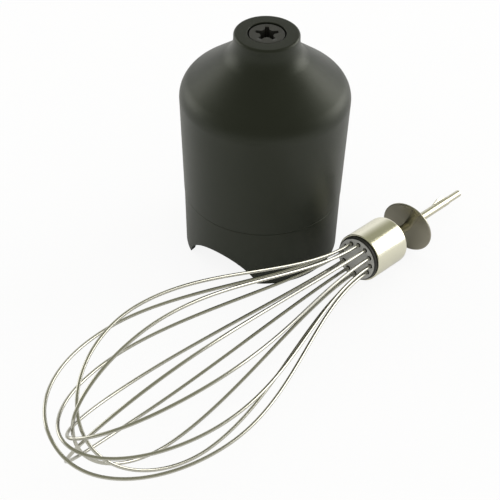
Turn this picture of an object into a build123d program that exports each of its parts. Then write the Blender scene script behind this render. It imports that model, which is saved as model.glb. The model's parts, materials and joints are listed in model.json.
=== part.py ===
from build123d import *
from math import acos, asin, atan2, cos, degrees, hypot, pi, radians, sin, sqrt, tan
import os

# Whisk attachment of a stick blender, in millimetres: a gearbox in a bell-shaped housing, which
# slips over the blender's motor body, and the balloon whisk that plugs into the gearbox.
# The gearbox stands on its motor collar and the whisk lies beside it.
# Origin: centre of the collar's mouth. +Z runs up the gearbox, +X towards the whisk's shaft end.

# Housing
HOUSING_WALL = 2.0
SHOULDER_OVERHANG = 1.5
SHOULDER_ROUND = 9.0
FLARE_ANGLE = 38.6
NECK_ROUND = 10.5
NECK_LAND = 1.05
NECK_EDGE = 1.0
NECK_WALL = 1.5
NECK_TUBE_WALL = 2.5
HOUSING_RIBS = 6
RIB_THICKNESS = 1.6
RIB_ANGLE = 30.0
BOSS_RADIUS = 2.6

# Motor collar
COLLAR_HEIGHT = 25.0
COLLAR_WALL = 3.5
COLLAR_INSET = 0.12
FOOT_TAPER = 0.7
FOOT_BEVEL = 0.6
MOUTH_LEAD = 0.5
LAND_LENGTH = 6.5
LEDGE_WIDTH = 2.0
LEDGE_THICKNESS = 2.5
SPIGOT_HEIGHT = 5.5
SPIGOT_WALL = 1.6
SPIGOT_CLEARANCE = 0.1
ARCH_HALF_WIDTH = 16.0
ARCH_HEIGHT = 11.5
ARCH_ANGLE = 4.4
LATCH_WIDTH = 10.0
LATCH_HEIGHT = 3.5
LATCH_DEPTH = 1.2

# Planetary gearing
MODULE = 0.8
PRESSURE_ANGLE = 20.0
SUN_TEETH = 12
PLANET_TEETH = 18
RING_TEETH = SUN_TEETH + 2 * PLANET_TEETH
PLANETS = 3
FIRST_PLANET_ANGLE = 90.0
ADDENDUM = 0.8 * MODULE
DEDENDUM = 1.15 * MODULE
BACKLASH = 0.12
RING_WALL = 1.5
RING_WIDTH = 10.0
RING_FLANGE = 2.5
RING_SHELF = 1.5
PLANET_WIDTH = 8.0
PLANET_WEB = 3.0
PLANET_HUB_WALL = 1.3
PLANET_RIM = 1.2
PLANET_GAP = 0.5
PIN_RADIUS = 1.5
CARRIER_RIM = 2.0
CARRIER_THICKNESS = 4.0
CARRIER_BORE_RADIUS = 4.0

# Cover, its bush and its screws
COVER_THICKNESS = 2.5
COVER_CLEARANCE = 0.4
COVER_HUB_WALL = 3.15
COVER_HUB_DROP = 4.5
COVER_RIBS = 6
COVER_RIB_LENGTH = 10.5
COVER_RIB_DEPTH = 2.25
SCREWS = 3
SCREW_ANGLE = 60.0
SCREW_RADIUS = 1.3
SCREW_CLEARANCE = 0.3
SCREW_HEAD_RADIUS = 2.6
SCREW_HEAD_HEIGHT = 1.9
SCREW_HEAD_GAP = 0.6
SCREW_GRIP = 8.0
SCREW_END_GAP = 1.0

# Drive from the motor
INPUT_SHAFT_RADIUS = 2.5
BUSH_WALL = 1.8
BUSH_FLANGE = 1.85
BUSH_FLANGE_THICKNESS = 1.0
COUPLING_RADIUS = 8.5
COUPLING_HUB_LENGTH = 3.0
COUPLING_STAND_BACK = 0.5
COUPLING_BEVEL = 0.8
COUPLING_SOCKET_RADIUS = 5.4
COUPLING_DOGS = 6
COUPLING_DOG_DEPTH = 1.5
COUPLING_DOG_WIDTH = 2.4

# Output to the whisk
SOCKET_SHAFT_RADIUS = 6.0
SOCKET_LENGTH = 38.7
SOCKET_HEAD_STEP = 0.55
SOCKET_HEAD_LENGTH = 6.2
SOCKET_FLANGE = 2.5
SOCKET_FLANGE_THICKNESS = 3.5
SOCKET_RECESS = 0.3
SOCKET_MOUTH_GAP = 0.45
STAR_ARMS = 5
STAR_ANGLE = 40.0
STAR_CORE_CLEARANCE = 0.85
STAR_REACH_CLEARANCE = 1.6
STAR_ARM_CLEARANCE = 0.7
STAR_ARM_TAPER = 0.25
STAR_END_GAP = 1.5
GRIP_RING_WALL = 1.4
GRIP_RING_HEIGHT = 1.8
GRIP_RING_DROP = 4.0
THRUST_WASHER_THICKNESS = 1.0
THRUST_WASHER_OVERHANG = 0.5
NECK_BUSH_WALL = 1.95
NECK_BUSH_LENGTH = 18.0
NECK_BUSH_FLANGE = 1.6
NECK_BUSH_FLANGE_THICKNESS = 1.2
NECK_SEAL_HEIGHT = 3.0

# Whisk head
FERRULE_RADIUS = 9.3
FERRULE_WALL = 0.7
FERRULE_ROUND = 1.6
PLUG_FACE_TO_FERRULE_END = 20.3
PLUG_STAND = 1.5
PLUG_LENGTH = 14.5
PLUG_EDGE = 0.5
FERRULE_TO_DISC = 13.0
DISC_RADIUS = 10.6
DISC_THICKNESS = 0.8
DISC_DISH = 0.1
DISC_FLAT_RADIUS = 4.5
DISC_LEAN = 10.5
DISC_LEAN_ANGLE = -24.0
SHAFT_RADIUS = 1.65
SHAFT_IN_PLUG = 9.0
SHAFT_BEYOND_DISC = 36.0
SHAFT_POINT = 0.8
SHAFT_CLEARANCE = 0.15
TIP_STEP = 0.25
KEY_START = 16.0
KEY_LENGTH = 10.7
KEY_REACH = 2.7
KEY_RISE = 6.9
KEY_FALL = 1.5
KEY_THICKNESS = 1.2
KEY_ANGLE = -51.0

# Wires, bent as one loop each, which nest in one another at the tip
WIRE_RADIUS = 0.6
HOLE_CLEARANCE = 0.05
HOLE_MOUTH_CLEARANCE = 0.35
HOLE_MOUTH_DEPTH = 2.0
HOLE_DEPTH = 9.0
HOLE_EDGE = 2.3
FIRST_HOLE_ANGLE = -31.8
BELLY_STATION = 101.1
# Each loop: reach of its tip, radius of its near and far side at the belly, how far its tip leans
# along the loop's own plane, and how far near side, far side and tip are bent out of that plane
LOOPS = [
    (143.5, 27.0, 26.5, 2.5, -4.5, 5.5, 2.0),
    (145.0, 22.0, 27.5, 4.5, -6.0, 1.5, -2.0),
    (147.0, 25.5, 28.5, -6.0, 1.5, 0.5, 2.0),
    (147.0, 30.0, 17.0, 1.0, -2.5, -0.5, -1.5),
    (149.0, 26.5, 23.5, 1.5, 1.5, 1.5, 0.0),
    (153.0, 29.5, 28.5, 0.0, -4.5, 10.0, -0.5),
]
# Pull of the curve's handles, as shares of the stretch that they belong to
HANDLE_AT_HOLE = 0.325
HANDLE_BEFORE_BELLY = 0.342
HANDLE_AFTER_BELLY = 0.516
HANDLE_AT_TIP = 0.609
SIDE_STEPS = (0.25, 0.5, 0.75, 1.0)
TIP_STEPS = (0.2, 0.4, 0.6, 0.8)
BEND_SHARE = 0.45

# Where the whisk lies beside the gearbox
WHISK_GAP = 6.1
PLUG_FACE_STATION = -0.7

# Clearances that several pieces share
RUNNING = 0.05
FACE_GAP = 0.15
SCREW_WALL_GAP = 0.59
BORE_LEAD = 0.4

# Radii that follow from the sizes above, from the output shaft outwards
tip_radius = SHAFT_RADIUS - TIP_STEP
socket_bore = tip_radius + SHAFT_CLEARANCE
grip_groove_radius = socket_bore + GRIP_RING_WALL
star_core = SHAFT_RADIUS + STAR_CORE_CLEARANCE
star_reach = KEY_REACH + STAR_REACH_CLEARANCE
star_arm_width = KEY_THICKNESS + STAR_ARM_CLEARANCE
socket_head_radius = SOCKET_SHAFT_RADIUS + SOCKET_HEAD_STEP
socket_flange_radius = SOCKET_SHAFT_RADIUS + SOCKET_FLANGE
neck_bore_radius = socket_head_radius + SOCKET_MOUTH_GAP
neck_bush_radius = SOCKET_SHAFT_RADIUS + RUNNING + NECK_BUSH_WALL
neck_tube_radius = neck_bush_radius + NECK_TUBE_WALL
neck_radius = neck_tube_radius + NECK_WALL
input_bush_radius = INPUT_SHAFT_RADIUS + RUNNING + BUSH_WALL
cover_hub_radius = input_bush_radius + COVER_HUB_WALL
sun_radius = MODULE * SUN_TEETH / 2
planet_radius = MODULE * PLANET_TEETH / 2
planet_orbit = sun_radius + planet_radius
carrier_radius = planet_orbit + PIN_RADIUS + CARRIER_RIM
ring_radius = MODULE * RING_TEETH / 2
ring_outer_radius = ring_radius + DEDENDUM + RING_WALL
screw_circle_radius = ring_outer_radius + BOSS_RADIUS + SCREW_WALL_GAP
parting_radius = screw_circle_radius + SCREW_HEAD_RADIUS + SCREW_WALL_GAP + HOUSING_WALL
shoulder_radius = parting_radius + SHOULDER_OVERHANG
spigot_radius = parting_radius - HOUSING_WALL - SPIGOT_CLEARANCE
cover_radius = spigot_radius - COVER_CLEARANCE
foot_radius = parting_radius - FOOT_TAPER
land_radius = parting_radius - COLLAR_WALL
mouth_radius = land_radius + MOUTH_LEAD
arch_radius = (ARCH_HALF_WIDTH**2 + ARCH_HEIGHT**2) / (2 * ARCH_HEIGHT)
hole_circle_radius = FERRULE_RADIUS - FERRULE_WALL - HOLE_EDGE
whisk_axis_offset = shoulder_radius + WHISK_GAP + FERRULE_RADIUS

# Heights that follow from the sizes above, from the collar's mouth up
land_bottom = ARCH_HEIGHT + MOUTH_LEAD
ledge_bottom = land_bottom + LAND_LENGTH
ledge_top = ledge_bottom + LEDGE_THICKNESS
spigot_top = COLLAR_HEIGHT + SPIGOT_HEIGHT
cover_bottom = spigot_top + SCREW_HEAD_GAP + SCREW_HEAD_HEIGHT
flange_bottom = cover_bottom + COVER_THICKNESS
gearcase_height = flange_bottom + RING_FLANGE
ring_top = gearcase_height + RING_WIDTH
planet_bottom = gearcase_height + PLANET_GAP
planet_top = planet_bottom + PLANET_WIDTH
carrier_bottom = planet_top + PLANET_GAP
carrier_top = carrier_bottom + CARRIER_THICKNESS
socket_flange_top = carrier_top + SOCKET_FLANGE_THICKNESS
washer_bottom = socket_flange_top + FACE_GAP
neck_bush_bottom = washer_bottom + THRUST_WASHER_THICKNESS + FACE_GAP
neck_tube_bottom = neck_bush_bottom + NECK_BUSH_FLANGE_THICKNESS
neck_bush_top = neck_tube_bottom + NECK_BUSH_LENGTH
neck_step = neck_bush_top + FACE_GAP + NECK_SEAL_HEIGHT + FACE_GAP
socket_top = socket_flange_top + SOCKET_LENGTH
socket_head_bottom = socket_top - SOCKET_HEAD_LENGTH
housing_height = socket_top + SOCKET_RECESS
socket_floor = housing_height - SHAFT_BEYOND_DISC - 2 * SOCKET_RECESS
star_bottom = housing_height - KEY_START - KEY_LENGTH - STAR_END_GAP
grip_top = star_bottom - GRIP_RING_DROP
input_bush_top = flange_bottom + BUSH_FLANGE_THICKNESS
hub_bottom = cover_bottom - COVER_HUB_DROP
coupling_top = hub_bottom - COVER_CLEARANCE
coupling_bottom = ledge_bottom + COUPLING_STAND_BACK
coupling_floor = coupling_top - COUPLING_HUB_LENGTH
sun_bottom = input_bush_top + FACE_GAP * 2

# The flare is a straight cone between the shoulder's round and the neck's
flare_slope = radians(FLARE_ANGLE)
flare_rounds = SHOULDER_ROUND + NECK_ROUND
flare_run = shoulder_radius - neck_radius - flare_rounds * (1 - sin(flare_slope))
flare_rise = flare_rounds * cos(flare_slope) + flare_run * tan(flare_slope)
shoulder_height = housing_height - NECK_EDGE - NECK_LAND - flare_rise

# Places along the whisk, from its plug's face towards the shaft's tip
disc_station = PLUG_FACE_TO_FERRULE_END + FERRULE_TO_DISC
key_station = disc_station + KEY_START
tip_station = key_station + KEY_LENGTH
shaft_end = disc_station + SHAFT_BEYOND_DISC


def polar(centre, radius, angle):
    """Point of the radius-height plane at a radius and an angle in degrees from a centre."""
    return (centre[0] + radius * cos(radians(angle)), centre[1] + radius * sin(radians(angle)))


def arc(centre, radius, start, end):
    """Arc of the radius-height plane from one angle in degrees to another."""
    return ThreePointArc(*(polar(centre, radius, angle) for angle in (start, (start + end) / 2, end)))


def turned(*outline):
    """Solid turned about Z from a closed outline of (radius, height) corners."""
    return revolve(Plane.XZ * make_face(Polyline(*outline, close=True)), Axis.Z)


def sleeve(inner, outer, low, high):
    """Plain ring or, with no inner radius, a plain disc."""
    return turned((inner, low), (outer, low), (outer, high), (inner, high))


def around(count, start=0.0):
    """Angles in degrees of a number of like things spaced evenly round Z."""
    return [start + 360.0 * index / count for index in range(count)]


def bell(inset):
    """Face between the axis and the bell's outline, drawn in by an inset."""
    shoulder = (shoulder_radius - SHOULDER_ROUND, shoulder_height)
    rise = hypot(shoulder[0] - parting_radius, shoulder[1] - COLLAR_HEIGHT)
    lean = degrees(atan2(shoulder[1] - COLLAR_HEIGHT, shoulder[0] - parting_radius))
    wall_angle = lean - degrees(asin(SHOULDER_ROUND / rise))
    flare_start = 90.0 - FLARE_ANGLE
    neck = (neck_radius + NECK_ROUND, housing_height - NECK_EDGE - NECK_LAND)
    foot = polar((parting_radius, COLLAR_HEIGHT), inset, wall_angle + 90)
    foot = (foot[0] - (COLLAR_HEIGHT - foot[1]) / tan(radians(wall_angle)), COLLAR_HEIGHT)
    wall_top = polar(shoulder, SHOULDER_ROUND - inset, wall_angle - 90)
    flare_top = polar(neck, NECK_ROUND + inset, flare_start + 180)
    lines = [
        Line((0, COLLAR_HEIGHT), foot),
        Line(foot, wall_top),
        arc(shoulder, SHOULDER_ROUND - inset, wall_angle - 90, flare_start),
        Line(polar(shoulder, SHOULDER_ROUND - inset, flare_start), flare_top),
    ]
    if inset:
        lines += [Line(flare_top, (0, flare_top[1]))]
    else:
        edge = (neck_radius - NECK_EDGE, housing_height - NECK_EDGE)
        lines += [
            arc(neck, NECK_ROUND, flare_start + 180, 180),
            Line((neck_radius, neck[1]), (neck_radius, edge[1])),
            arc(edge, NECK_EDGE, 0, 90),
            Line((edge[0], housing_height), (0, housing_height)),
        ]
    lines += [Line(lines[-1] @ 1, (0, COLLAR_HEIGHT))]
    return Plane.XZ * make_face(Curve() + lines)


def make_housing():
    """Bell with the neck's inner tube, ribs, screw bosses and a stepped bore."""
    body = revolve(bell(0), Axis.Z)
    hollow = revolve(bell(HOUSING_WALL), Axis.Z)
    inside = sleeve(0, neck_tube_radius, neck_tube_bottom, housing_height)
    web = Box(shoulder_radius, RIB_THICKNESS, housing_height, align=(Align.MIN, Align.CENTER, Align.MIN))
    boss = sleeve(0, BOSS_RADIUS, 0, housing_height)
    for angle in around(HOUSING_RIBS, RIB_ANGLE):
        inside += Rot(0, 0, angle) * Pos(0, 0, neck_tube_bottom) * web
    for angle in around(SCREWS, SCREW_ANGLE):
        inside += Rot(0, 0, angle) * Pos(screw_circle_radius, 0, gearcase_height) * (boss + web)
    housing = (body - hollow) + (inside & body)
    housing -= sleeve(0, neck_bush_radius, neck_tube_bottom, neck_step)
    housing -= sleeve(0, neck_bore_radius, neck_step, housing_height)
    pilot = sleeve(0, SCREW_RADIUS, gearcase_height, gearcase_height + SCREW_GRIP + SCREW_END_GAP)
    for angle in around(SCREWS, SCREW_ANGLE):
        housing -= Rot(0, 0, angle) * Pos(screw_circle_radius, 0, 0) * pilot
    return housing


def make_collar():
    """Ring that slips over the motor body, with an arch in each side and pockets for its latches."""
    rim_radius = parting_radius - COLLAR_INSET
    inner_radius = spigot_radius - SPIGOT_WALL
    collar = turned(
        (mouth_radius, 0),
        (foot_radius - FOOT_BEVEL, 0),
        (foot_radius, FOOT_BEVEL),
        (rim_radius, COLLAR_HEIGHT - COLLAR_INSET),
        (rim_radius - COLLAR_INSET, COLLAR_HEIGHT),
        (spigot_radius, COLLAR_HEIGHT),
        (spigot_radius, spigot_top),
        (inner_radius, spigot_top),
        (inner_radius, ledge_top),
        (land_radius - LEDGE_WIDTH, ledge_top),
        (land_radius - LEDGE_WIDTH, ledge_bottom),
        (land_radius, ledge_bottom),
        (land_radius, land_bottom),
        (mouth_radius, ARCH_HEIGHT),
    )
    arch = Cylinder(arch_radius, 3 * shoulder_radius, rotation=(0, 90, 0))
    collar -= Rot(0, 0, ARCH_ANGLE) * Pos(0, 0, ARCH_HEIGHT - arch_radius) * arch
    pocket_height = land_bottom + LAND_LENGTH / 2
    pocket = Box(2 * (land_radius + LATCH_DEPTH), LATCH_WIDTH, LATCH_HEIGHT)
    return collar - Rot(0, 0, ARCH_ANGLE) * Pos(0, 0, pocket_height) * pocket


def tooth_outline(teeth, tip_radius, root_radius, width):
    """Outline of a toothed wheel whose first tooth is on +X, with involute flanks.

    The width is that of a tooth on the pitch circle. Inside the base circle a flank is radial.
    """
    pitch_radius = MODULE * teeth / 2
    pressure = radians(PRESSURE_ANGLE)

    def half_tooth(radius):
        slope = acos(min(1.0, pitch_radius * cos(pressure) / radius))
        return width / (2 * pitch_radius) + tan(pressure) - pressure - tan(slope) + slope

    flank = [(radius, half_tooth(radius)) for radius in (root_radius, pitch_radius, tip_radius)]
    flank = [(radius, -half) for radius, half in flank] + [(radius, half) for radius, half in reversed(flank)]
    corners = []
    for centre in around(teeth):
        for radius, half in flank:
            angle = radians(centre) + half
            corners.append((radius * cos(angle), radius * sin(angle)))
    return make_face(Polyline(*corners, close=True))


def toothed(teeth, low, height):
    """Spur wheel with its first tooth on +X."""
    radius = MODULE * teeth / 2
    width = pi * MODULE / 2 - BACKLASH
    outline = tooth_outline(teeth, radius + ADDENDUM, radius - DEDENDUM, width)
    return Pos(0, 0, low) * extrude(outline, height)


def make_ring_gear():
    """Fixed inner gear, with the flange that the cover clamps against the housing's bosses."""
    tip_circle = ring_radius - ADDENDUM
    ring = sleeve(0, ring_outer_radius, gearcase_height, ring_top)
    width = pi * MODULE / 2 + BACKLASH
    space = tooth_outline(RING_TEETH, ring_radius + DEDENDUM, tip_circle, width)
    ring -= Pos(0, 0, gearcase_height) * extrude(Rot(0, 0, ring_turn) * space, RING_WIDTH)
    ring += sleeve(tip_circle - RING_SHELF, cover_radius, flange_bottom, gearcase_height)
    return ring - screw_holes(flange_bottom, gearcase_height)


def screw_holes(low, high):
    """Clearance holes of the cover's screws through a plate."""
    hole = Pos(screw_circle_radius, 0, 0) * sleeve(0, SCREW_RADIUS + SCREW_CLEARANCE, low, high)
    return [Rot(0, 0, angle) * hole for angle in around(SCREWS, SCREW_ANGLE)]


def planet_turn(angle):
    """Turn in degrees of the planet at an angle of the orbit, so that it meshes with the sun."""
    sun_phase = angle * SUN_TEETH / 360.0
    return angle + 180.0 - 360.0 / PLANET_TEETH * (0.5 - sun_phase)


# The ring's tooth space lines up with the first planet's outermost tooth
first_turn = FIRST_PLANET_ANGLE - planet_turn(FIRST_PLANET_ANGLE)
ring_turn = FIRST_PLANET_ANGLE - first_turn * PLANET_TEETH / RING_TEETH
planet_angles = around(PLANETS, FIRST_PLANET_ANGLE)


def make_sun_gear():
    """Pinion cut on the input shaft."""
    shaft = sleeve(0, INPUT_SHAFT_RADIUS, coupling_floor, sun_bottom)
    return shaft + toothed(SUN_TEETH, sun_bottom, planet_top - sun_bottom)


def make_planet(angle):
    """Planet wheel with a thinner web, hub and bored centre, in mesh with sun and ring."""
    wheel = toothed(PLANET_TEETH, planet_bottom, PLANET_WIDTH)
    recess_depth = (PLANET_WIDTH - PLANET_WEB) / 2
    hub_radius = PIN_RADIUS + RUNNING + PLANET_HUB_WALL
    rim_radius = planet_radius - DEDENDUM - PLANET_RIM
    for low in (planet_bottom, planet_top - recess_depth):
        wheel -= sleeve(hub_radius, rim_radius, low, low + recess_depth)
    wheel -= sleeve(0, PIN_RADIUS + RUNNING, planet_bottom, planet_top)
    return Rot(0, 0, angle) * Pos(planet_orbit, 0, 0) * Rot(0, 0, planet_turn(angle) - angle) * wheel


def make_pin(angle):
    """Steel pin of one planet, pressed through the carrier."""
    pin = sleeve(0, PIN_RADIUS, planet_bottom, carrier_top)
    return Rot(0, 0, angle) * Pos(planet_orbit, 0, 0) * pin


def make_carrier():
    """Disc that holds the planet pins and drives the output socket."""
    carrier = sleeve(CARRIER_BORE_RADIUS, carrier_radius, carrier_bottom, carrier_top)
    hole = sleeve(0, PIN_RADIUS, carrier_bottom, carrier_top)
    for angle in planet_angles:
        carrier -= Rot(0, 0, angle) * Pos(planet_orbit, 0, 0) * hole
    return carrier


def make_cover():
    """Plate that closes the gearcase, with a ribbed hub for the input bush."""
    cover = sleeve(input_bush_radius, cover_radius, cover_bottom, flange_bottom)
    cover += sleeve(input_bush_radius, cover_hub_radius, hub_bottom, cover_bottom)
    rib_length = COVER_HUB_WALL + COVER_RIB_LENGTH
    rib = Box(rib_length, RIB_THICKNESS, COVER_RIB_DEPTH, align=(Align.MIN, Align.CENTER, Align.MAX))
    for angle in around(COVER_RIBS, SCREW_ANGLE + 180.0 / COVER_RIBS):
        cover += Rot(0, 0, angle) * Pos(input_bush_radius, 0, cover_bottom) * rib
    cover -= sleeve(0, input_bush_radius, hub_bottom, flange_bottom)
    return cover - screw_holes(cover_bottom, flange_bottom)


def make_screws():
    """Pan-head screws that hold cover and ring gear to the housing, one solid each."""
    top = gearcase_height + SCREW_GRIP
    low = cover_bottom - SCREW_HEAD_HEIGHT
    screw = turned(
        (0, low),
        (SCREW_HEAD_RADIUS * 0.7, low),
        (SCREW_HEAD_RADIUS, low + SCREW_HEAD_HEIGHT * 0.45),
        (SCREW_HEAD_RADIUS, cover_bottom),
        (SCREW_RADIUS, cover_bottom),
        (SCREW_RADIUS, top - SCREW_RADIUS),
        (SCREW_RADIUS * 0.4, top),
        (0, top),
    )
    screw = Pos(screw_circle_radius, 0, 0) * screw
    return Compound([Rot(0, 0, angle) * screw for angle in around(SCREWS, SCREW_ANGLE)])


def make_input_bush():
    """Flanged bush in the cover's hub, in which the input shaft runs."""
    bore = INPUT_SHAFT_RADIUS + RUNNING
    return turned(
        (bore, hub_bottom),
        (input_bush_radius, hub_bottom),
        (input_bush_radius, flange_bottom),
        (input_bush_radius + BUSH_FLANGE, flange_bottom),
        (input_bush_radius + BUSH_FLANGE, input_bush_top),
        (bore, input_bush_top),
    )


def make_coupling():
    """Female dog on the input shaft that the motor's spindle slips into."""
    coupling = turned(
        (0, coupling_bottom),
        (COUPLING_RADIUS - COUPLING_BEVEL, coupling_bottom),
        (COUPLING_RADIUS, coupling_bottom + COUPLING_BEVEL),
        (COUPLING_RADIUS, coupling_top - COUPLING_BEVEL),
        (COUPLING_RADIUS - COUPLING_BEVEL, coupling_top),
        (0, coupling_top),
    )
    coupling -= sleeve(0, COUPLING_SOCKET_RADIUS, coupling_bottom, coupling_floor)
    dog_size = (2 * COUPLING_DOG_DEPTH, COUPLING_DOG_WIDTH, coupling_floor - coupling_bottom)
    dog = Box(*dog_size, align=(Align.CENTER, Align.CENTER, Align.MIN))
    for angle in around(COUPLING_DOGS):
        coupling += Rot(0, 0, angle) * Pos(COUPLING_SOCKET_RADIUS, 0, coupling_bottom) * dog
    return coupling - sleeve(0, INPUT_SHAFT_RADIUS, coupling_floor, coupling_top)


def star(height):
    """Prism of the star-shaped hole, with one arm per whisk key position."""
    root = star_arm_width / 2
    end = root - STAR_ARM_TAPER
    corners = []
    for angle in around(STAR_ARMS, STAR_ANGLE):
        along = Vector(cos(radians(angle)), sin(radians(angle)))
        across = Vector(-along.Y, along.X)
        corners += [Vector(star_core, 0).rotate(Axis.Z, angle - 180.0 / STAR_ARMS)]
        corners += [along * star_core - across * root]
        corners += [along * star_reach - across * end]
        corners += [along * star_reach + across * end]
        corners += [along * star_core + across * root]
    return extrude(make_face(Polyline(*corners, close=True)), height)


def make_output_socket():
    """Hollow shaft that carries the whisk: star hole above, round bore for the shaft's tip below."""
    socket = turned(
        (0, carrier_bottom),
        (CARRIER_BORE_RADIUS, carrier_bottom),
        (CARRIER_BORE_RADIUS, carrier_top),
        (socket_flange_radius, carrier_top),
        (socket_flange_radius, socket_flange_top),
        (SOCKET_SHAFT_RADIUS, socket_flange_top),
        (SOCKET_SHAFT_RADIUS, socket_head_bottom),
        (socket_head_radius, socket_head_bottom),
        (socket_head_radius, socket_top - BORE_LEAD),
        (socket_head_radius - BORE_LEAD, socket_top),
        (0, socket_top),
    )
    socket -= sleeve(0, socket_bore, socket_floor, star_bottom)
    socket -= sleeve(0, grip_groove_radius, grip_top - GRIP_RING_HEIGHT, grip_top)
    return socket - Pos(0, 0, star_bottom) * star(socket_top - star_bottom)


def make_grip_ring():
    """Rubber ring in the socket's groove that holds the whisk's shaft."""
    middle = grip_top - GRIP_RING_HEIGHT / 2
    waist = GRIP_RING_HEIGHT * 0.28
    return turned(
        (socket_bore, middle - waist),
        (socket_bore + waist, grip_top - GRIP_RING_HEIGHT),
        (grip_groove_radius, grip_top - GRIP_RING_HEIGHT),
        (grip_groove_radius, grip_top),
        (socket_bore + waist, grip_top),
        (socket_bore, middle + waist),
    )


def make_thrust_washer():
    """Steel washer between the turning flange and the fixed bush."""
    inner = SOCKET_SHAFT_RADIUS + RUNNING * 2
    outer = socket_flange_radius + THRUST_WASHER_OVERHANG
    return sleeve(inner, outer, washer_bottom, washer_bottom + THRUST_WASHER_THICKNESS)


def make_neck_bush():
    """Flanged bush in the neck's tube, in which the output socket runs."""
    bore = SOCKET_SHAFT_RADIUS + RUNNING
    return turned(
        (bore, neck_bush_bottom),
        (neck_bush_radius + NECK_BUSH_FLANGE, neck_bush_bottom),
        (neck_bush_radius + NECK_BUSH_FLANGE, neck_tube_bottom),
        (neck_bush_radius, neck_tube_bottom),
        (neck_bush_radius, neck_bush_top),
        (bore, neck_bush_top),
    )


def make_neck_seal():
    """Rubber lip seal above the bush, between the neck and the turning socket."""
    bore = SOCKET_SHAFT_RADIUS + RUNNING
    low = neck_bush_top + FACE_GAP
    high = low + NECK_SEAL_HEIGHT
    lip = NECK_SEAL_HEIGHT * 0.3
    return turned(
        (bore + lip, low),
        (neck_bush_radius, low),
        (neck_bush_radius, high),
        (bore + lip, high),
        (bore, high - lip),
        (bore, low + lip),
    )


# The whisk is made upright: its axis is Z, its plug's face is at height zero and its shaft points up,
# so the wires hang below. A side at angle zero is uppermost when the whisk lies down.


def bend(knots, share):
    """Point of a cubic curve with four knots, at a share of its way."""
    rest = 1 - share
    weights = (rest**3, 3 * rest**2 * share, 3 * rest * share**2, share**3)
    return sum((knot * weight for knot, weight in zip(knots, weights)), Vector(0, 0, 0))


def loop_side(loop, sign):
    """Points of one side of a loop from the plug's face to just before the tip, in the loop's plane.

    X is in the loop's plane, Y out of it, and Z along the whisk.
    """
    reach, near, far, lean, near_bow, far_bow, tip_bow = loop
    belly, bow = (near, near_bow) if sign > 0 else (-far, far_bow)
    hole = Vector(sign * hole_circle_radius, 0, 0)
    widest = Vector(belly, bow, -BELLY_STATION)
    tip = Vector(lean, tip_bow, -reach)
    side = (
        hole,
        hole - Vector(0, 0, HANDLE_AT_HOLE * BELLY_STATION),
        widest + Vector(0, 0, HANDLE_BEFORE_BELLY * BELLY_STATION),
        widest,
    )
    end = (
        widest,
        widest - Vector(0, 0, HANDLE_AFTER_BELLY * (reach - BELLY_STATION)),
        tip + Vector(HANDLE_AT_TIP * (belly - lean), 0, 0),
        tip,
    )
    points = [bend(side, share) for share in SIDE_STEPS] + [bend(end, share) for share in TIP_STEPS]
    return [hole + Vector(0, 0, HOLE_DEPTH), hole] + points


def loop_route(index):
    """Corner points of one loop, turned to its pair of holes."""
    loop = LOOPS[index]
    tip = Vector(loop[3], loop[6], -loop[0])
    points = loop_side(loop, 1) + [tip] + loop_side(loop, -1)[::-1]
    return [point.rotate(Axis.Z, FIRST_HOLE_ANGLE + 180.0 * index / len(LOOPS)) for point in points]


def make_wire(index):
    """One loop of wire along straight runs joined by arcs as large as the runs allow."""
    route = loop_route(index)
    runs = [end - start for start, end in zip(route, route[1:])]
    radii = []
    for before, after in zip(runs, runs[1:]):
        turn = radians(before.get_angle(after))
        radii.append(BEND_SHARE * min(before.length, after.length) / tan(turn / 2))
    path = FilletPolyline(*route, radius=radii)
    section = Plane(origin=path @ 0, z_dir=path % 0) * Circle(WIRE_RADIUS)
    return sweep(section, path=path)


def make_plug():
    """Plug in the ferrule's mouth, with a hole for each wire end and a bore for the shaft."""
    radius = FERRULE_RADIUS - FERRULE_WALL
    plug = turned((0, 0), (radius - PLUG_EDGE, 0), (radius, PLUG_EDGE), (radius, PLUG_LENGTH), (0, PLUG_LENGTH))
    for angle in around(2 * len(LOOPS), FIRST_HOLE_ANGLE):
        place = Rot(0, 0, angle) * Pos(hole_circle_radius, 0, 0)
        plug -= place * sleeve(0, WIRE_RADIUS + HOLE_MOUTH_CLEARANCE, 0, HOLE_MOUTH_DEPTH)
        plug -= place * sleeve(0, WIRE_RADIUS + HOLE_CLEARANCE, HOLE_MOUTH_DEPTH, HOLE_DEPTH)
    return plug - sleeve(0, SHAFT_RADIUS, PLUG_LENGTH - SHAFT_IN_PLUG, PLUG_LENGTH)


def make_ferrule():
    """Drawn steel cup over the plug, with the shaft through its closed end."""
    inner = FERRULE_RADIUS - FERRULE_WALL
    end = PLUG_FACE_TO_FERRULE_END
    corner = (FERRULE_RADIUS - FERRULE_ROUND, end - FERRULE_ROUND)
    lines = [
        Line((inner, PLUG_STAND), (FERRULE_RADIUS, PLUG_STAND)),
        Line((FERRULE_RADIUS, PLUG_STAND), (FERRULE_RADIUS, corner[1])),
        arc(corner, FERRULE_ROUND, 0, 90),
        Line((corner[0], end), (SHAFT_RADIUS, end)),
        Line((SHAFT_RADIUS, end), (SHAFT_RADIUS, end - FERRULE_WALL)),
        Line((SHAFT_RADIUS, end - FERRULE_WALL), (corner[0], end - FERRULE_WALL)),
        arc(corner, FERRULE_ROUND - FERRULE_WALL, 90, 0),
        Line((inner, corner[1]), (inner, PLUG_STAND)),
    ]
    return revolve(Plane.XZ * make_face(Curve() + lines), Axis.Z)


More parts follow.
